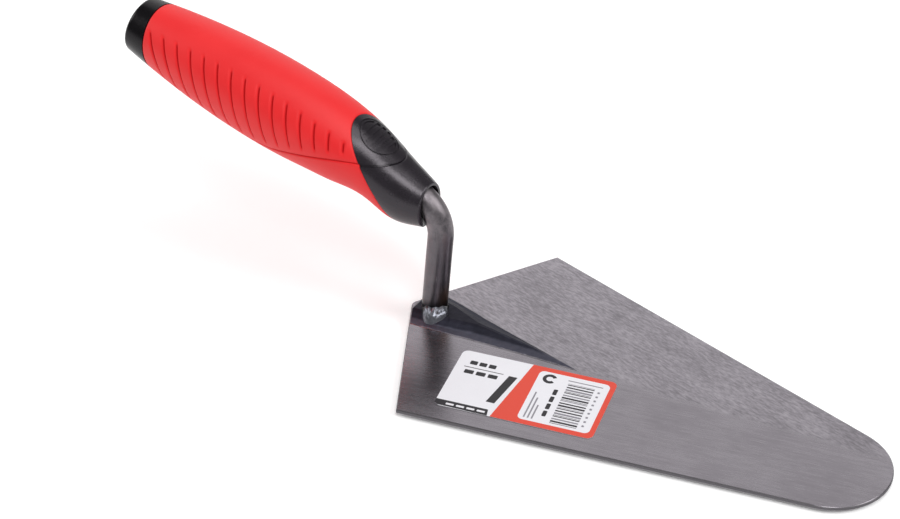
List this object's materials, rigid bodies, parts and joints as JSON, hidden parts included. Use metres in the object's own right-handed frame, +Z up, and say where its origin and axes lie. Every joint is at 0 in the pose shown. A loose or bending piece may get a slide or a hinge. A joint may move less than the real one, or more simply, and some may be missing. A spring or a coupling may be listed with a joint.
{
  "type": "brick trowel",
  "caption": "Brick trowel: flat steel blade with a tapering rib and a rounded toe, bent round neck, hard plastic nose and butt cap, soft rubber grip, and a paper label.",
  "frame": {"origin": "the point of the blade's underside that the axis of the neck meets, 10 mm in from the heel point", "axes": "+X from the handle to the toe, +Z up from the blade's underside, and the trowel mirrors across the X-Z plane, apart from its label, its weld bead and the slightly uneven rib"},
  "size_m": [0.3282, 0.1154, 0.0982],
  "materials": {
    "blade_steel": "ground, the rib left as forged",
    "neck_steel": "as rolled, dark, with a heat tint near the weld",
    "weld_metal": "as welded, lumpy",
    "hard_plastic": "satin",
    "grip_rubber": "satin",
    "label_paper": "printed, slightly glossy"
  },
  "bodies": {
    "root": {"blade": "blade_steel", "neck": "neck_steel", "neck_weld": "weld_metal", "handle_core": "hard_plastic", "soft_grip": "grip_rubber", "butt_cap": "hard_plastic", "product_label": "label_paper"}
  },
  "joints": []
}
